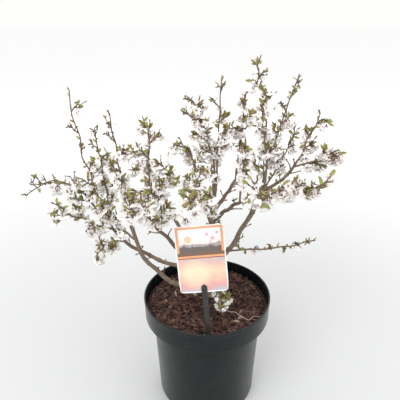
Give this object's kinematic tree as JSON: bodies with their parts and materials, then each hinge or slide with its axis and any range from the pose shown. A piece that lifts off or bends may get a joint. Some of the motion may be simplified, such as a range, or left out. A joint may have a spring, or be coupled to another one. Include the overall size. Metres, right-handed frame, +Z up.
{
  "type": "potted flowering cherry shrub",
  "caption": "Small flowering cherry with zigzag twigs and white nodding blossom, in a round nursery pot with a picture label in its soil.",
  "frame": {"origin": "centre of the pot's flat underside", "axes": "+Z up, the label faces -Y"},
  "size_m": [0.4531, 0.3689, 0.556],
  "materials": {
    "pot_plastic": "black thermoformed nursery plastic with a soft satin sheen, faint turning lines and dust",
    "bark_mix": "damp potting mix topped with dark reddish-brown bark chips",
    "bark": "thin grey-brown cherry bark with pale cross-wise pores and a slight silver skin",
    "blossom_spray": "thin twigs with white to very pale pink petals, red-brown calyxes and a few young olive and bronze leaves",
    "card": "thin glossy printed plastic card in sunset colours",
    "label_stem": "dark grey moulded plastic"
  },
  "bodies": {
    "root": {"pot": "pot_plastic", "soil": "bark_mix", "trunk": "bark", "bough_left": "bark", "bough_far_left": "bark", "bough_mid_left": "bark", "bough_centre": "bark", "bough_centre_right": "bark", "bough_right": "bark", "bough_right_arm": "bark", "bough_back": "bark", "bough_back_left": "bark", "bough_back_right": "bark", "bough_front": "bark", "bough_front_right": "bark", "spray_far_left": "blossom_spray", "spray_left_low": "blossom_spray", "spray_left_top": "blossom_spray", "spray_left_back": "blossom_spray", "spray_left_mid": "blossom_spray", "spray_left_hanging": "blossom_spray", "spray_mid_left": "blossom_spray", "spray_front_left": "blossom_spray", "spray_crown_left": "blossom_spray", "spray_crown": "blossom_spray", "spray_crown_right": "blossom_spray", "spray_top": "blossom_spray", "spray_right_upper": "blossom_spray", "spray_right_back": "blossom_spray", "spray_right_tall": "blossom_spray", "spray_right_end": "blossom_spray", "spray_right_low": "blossom_spray", "spray_right_zigzag": "blossom_spray", "spray_inner": "blossom_spray", "spray_front": "blossom_spray", "spray_front_right": "blossom_spray", "spray_low_shoot": "blossom_spray", "spray_centre_left": "blossom_spray", "spray_centre_right": "blossom_spray", "spray_centre_low": "blossom_spray", "spray_back_left": "blossom_spray", "spray_back_low_left": "blossom_spray", "spray_back": "blossom_spray", "spray_back_crown": "blossom_spray", "spray_back_right": "blossom_spray", "spray_back_low_right": "blossom_spray", "label_card": "card", "label_stem": "label_stem"}
  },
  "joints": []
}
